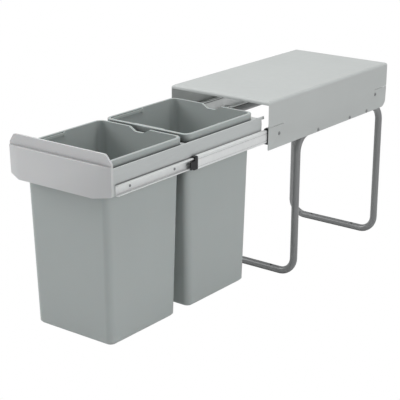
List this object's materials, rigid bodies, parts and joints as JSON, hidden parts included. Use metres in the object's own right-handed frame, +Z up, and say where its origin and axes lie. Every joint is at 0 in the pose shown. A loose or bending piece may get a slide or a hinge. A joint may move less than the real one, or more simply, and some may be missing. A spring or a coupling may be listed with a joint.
{
  "type": "pull out bin frame",
  "caption": "Pull-out waste bin frame for a kitchen cabinet, with a tube base, sheet cover, ball-bearing slides and lift-out bins, drawn open.",
  "frame": {"origin": "centre of the four floor screws, on the cabinet floor", "axes": "+Z up, +Y towards the back of the cabinet so the drawer comes out towards -Y, +X to the right seen from the front"},
  "size_m": [0.252, 0.978, 0.418],
  "materials": {
    "grey_tube": "satin dark grey powder coat",
    "cover_paint": "satin light grey powder coat",
    "rail_paint": "satin light grey powder coat",
    "zinc_steel": "bright zinc plating",
    "ball_steel": "polished",
    "black_plastic": "fine moulded",
    "fascia_plastic": "fine moulded light grey",
    "bin_plastic": "fine moulded light grey",
    "bail_plastic": "fine moulded light grey"
  },
  "bodies": {
    "frame": {"front_leg_hoop": "grey_tube", "rear_leg_hoop": "grey_tube", "leg_joint_sleeves": "zinc_steel", "cover_hood": "cover_paint", "cover_rivets": "zinc_steel", "cabinet_member_rivets": "zinc_steel", "left_cabinet_member": "zinc_steel", "right_cabinet_member": "zinc_steel", "slide_end_bumpers": "black_plastic", "slide_front_guides": "black_plastic"},
    "drawer": {"left_side_rail": "rail_paint", "right_side_rail": "rail_paint", "front_cross_member": "rail_paint", "middle_cross_member": "rail_paint", "rear_cross_member": "zinc_steel", "rail_rivets": "zinc_steel", "left_drawer_member": "zinc_steel", "right_drawer_member": "zinc_steel", "drawer_member_rivets": "zinc_steel", "front_fascia": "fascia_plastic", "fascia_screws": "zinc_steel"},
    "left_middle": {"left_middle_member": "zinc_steel", "left_middle_end_cap": "black_plastic"},
    "right_middle": {"right_middle_member": "zinc_steel", "right_middle_end_cap": "black_plastic"},
    "left_outer_cage": {"left_outer_ball_cage": "zinc_steel", "left_outer_balls": "ball_steel"},
    "right_outer_cage": {"right_outer_ball_cage": "zinc_steel", "right_outer_balls": "ball_steel"},
    "left_inner_cage": {"left_inner_ball_cage": "zinc_steel", "left_inner_balls": "ball_steel"},
    "right_inner_cage": {"right_inner_ball_cage": "zinc_steel", "right_inner_balls": "ball_steel"},
    "front_bin_body": {"front_bin": "bin_plastic"},
    "rear_bin_body": {"rear_bin": "bin_plastic"},
    "front_bail_body": {"front_bail": "bail_plastic"},
    "rear_bail_body": {"rear_bail": "bail_plastic"}
  },
  "joints": [
    {"name": "drawer_slide", "type": "slide", "parent": "frame", "child": "drawer", "axis": [0, -1, 0], "range_m": [-0.47, 0]},
    {"name": "left_middle_slide", "type": "slide", "parent": "frame", "child": "left_middle", "axis": [0, -1, 0], "range_m": [-0.2614, 0.001]},
    {"name": "left_outer_cage_slide", "type": "slide", "parent": "frame", "child": "left_outer_cage", "axis": [0, -1, 0], "range_m": [-0.1317, 0.001]},
    {"name": "left_inner_cage_slide", "type": "slide", "parent": "frame", "child": "left_inner_cage", "axis": [0, -1, 0], "range_m": [-0.3667, 0.001]},
    {"name": "right_middle_slide", "type": "slide", "parent": "frame", "child": "right_middle", "axis": [0, -1, 0], "range_m": [-0.2614, 0.001]},
    {"name": "right_outer_cage_slide", "type": "slide", "parent": "frame", "child": "right_outer_cage", "axis": [0, -1, 0], "range_m": [-0.1317, 0.001]},
    {"name": "right_inner_cage_slide", "type": "slide", "parent": "frame", "child": "right_inner_cage", "axis": [0, -1, 0], "range_m": [-0.3667, 0.001]},
    {"name": "front_bin_lift", "type": "slide", "parent": "drawer", "child": "front_bin_body", "axis": [0, 0, 1], "range_m": [0, 0.37]},
    {"name": "front_bail_hinge", "type": "hinge", "parent": "front_bin_body", "child": "front_bail_body", "pos_m": [0, -0.6615, 0.3932], "axis": [-1, 0, 0], "range_deg": [0, 180]},
    {"name": "rear_bin_lift", "type": "slide", "parent": "drawer", "child": "rear_bin_body", "axis": [0, 0, 1], "range_m": [0, 0.37]},
    {"name": "rear_bail_hinge", "type": "hinge", "parent": "rear_bin_body", "child": "rear_bail_body", "pos_m": [0, -0.4305, 0.3932], "axis": [-1, 0, 0], "range_deg": [0, 180]}
  ],
  "couplings": [
    {"joint": "left_middle_slide", "follows": "drawer_slide", "ratio": 0.552},
    {"joint": "left_outer_cage_slide", "follows": "drawer_slide", "ratio": 0.276},
    {"joint": "left_inner_cage_slide", "follows": "drawer_slide", "ratio": 0.776},
    {"joint": "right_middle_slide", "follows": "drawer_slide", "ratio": 0.552},
    {"joint": "right_outer_cage_slide", "follows": "drawer_slide", "ratio": 0.276},
    {"joint": "right_inner_cage_slide", "follows": "drawer_slide", "ratio": 0.776}
  ]
}
